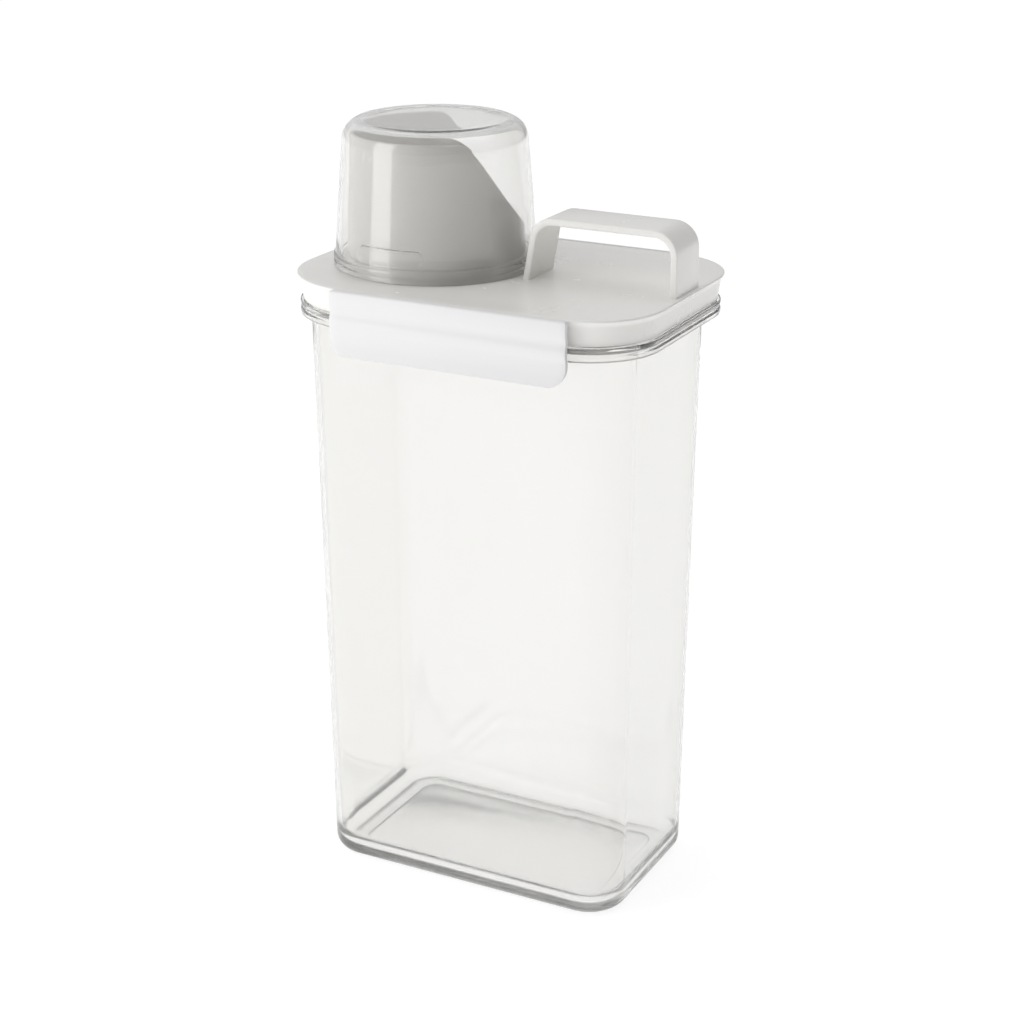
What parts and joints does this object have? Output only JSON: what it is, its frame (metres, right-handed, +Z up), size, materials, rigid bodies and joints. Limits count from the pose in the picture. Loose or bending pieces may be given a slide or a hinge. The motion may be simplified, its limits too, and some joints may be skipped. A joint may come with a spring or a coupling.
{
  "type": "detergent refill container",
  "caption": "Clear rectangular refill container with a latched white lid, slanted pouring spout, carrying handle and a clear measuring cup that caps the spout.",
  "frame": {"origin": "centre of the container's underside, on the surface that it stands on", "axes": "+Z up, +X along the length from the spout towards the handle, +Y from the front latch towards the back latch"},
  "size_m": [0.146, 0.1126, 0.2889],
  "materials": {
    "clear_wall": "clear moulded styrene plastic, polished",
    "clear_cup": "clear moulded styrene plastic, polished",
    "white_lid": "white moulded polypropylene, satin",
    "white_latch": "white moulded polypropylene, satin",
    "silicone": "translucent silicone rubber, matt"
  },
  "bodies": {
    "vessel": {"container": "clear_wall", "lid": "white_lid", "lid_gasket": "silicone"},
    "front_latch": {"front_latch": "white_latch"},
    "back_latch": {"back_latch": "white_latch"},
    "cup": {"measuring_cup": "clear_cup"}
  },
  "joints": [
    {"name": "front_latch_hinge", "type": "hinge", "parent": "vessel", "child": "front_latch", "pos_m": [0.004, -0.0524, 0.2355], "axis": [-1, 0, 0], "range_deg": [0, 110]},
    {"name": "back_latch_hinge", "type": "hinge", "parent": "vessel", "child": "back_latch", "pos_m": [0.004, 0.0524, 0.2355], "axis": [1, 0, 0], "range_deg": [0, 110]},
    {"name": "cup_lift", "type": "slide", "parent": "vessel", "child": "cup", "axis": [0, 0, 1], "range_m": [0, 0.08]}
  ]
}
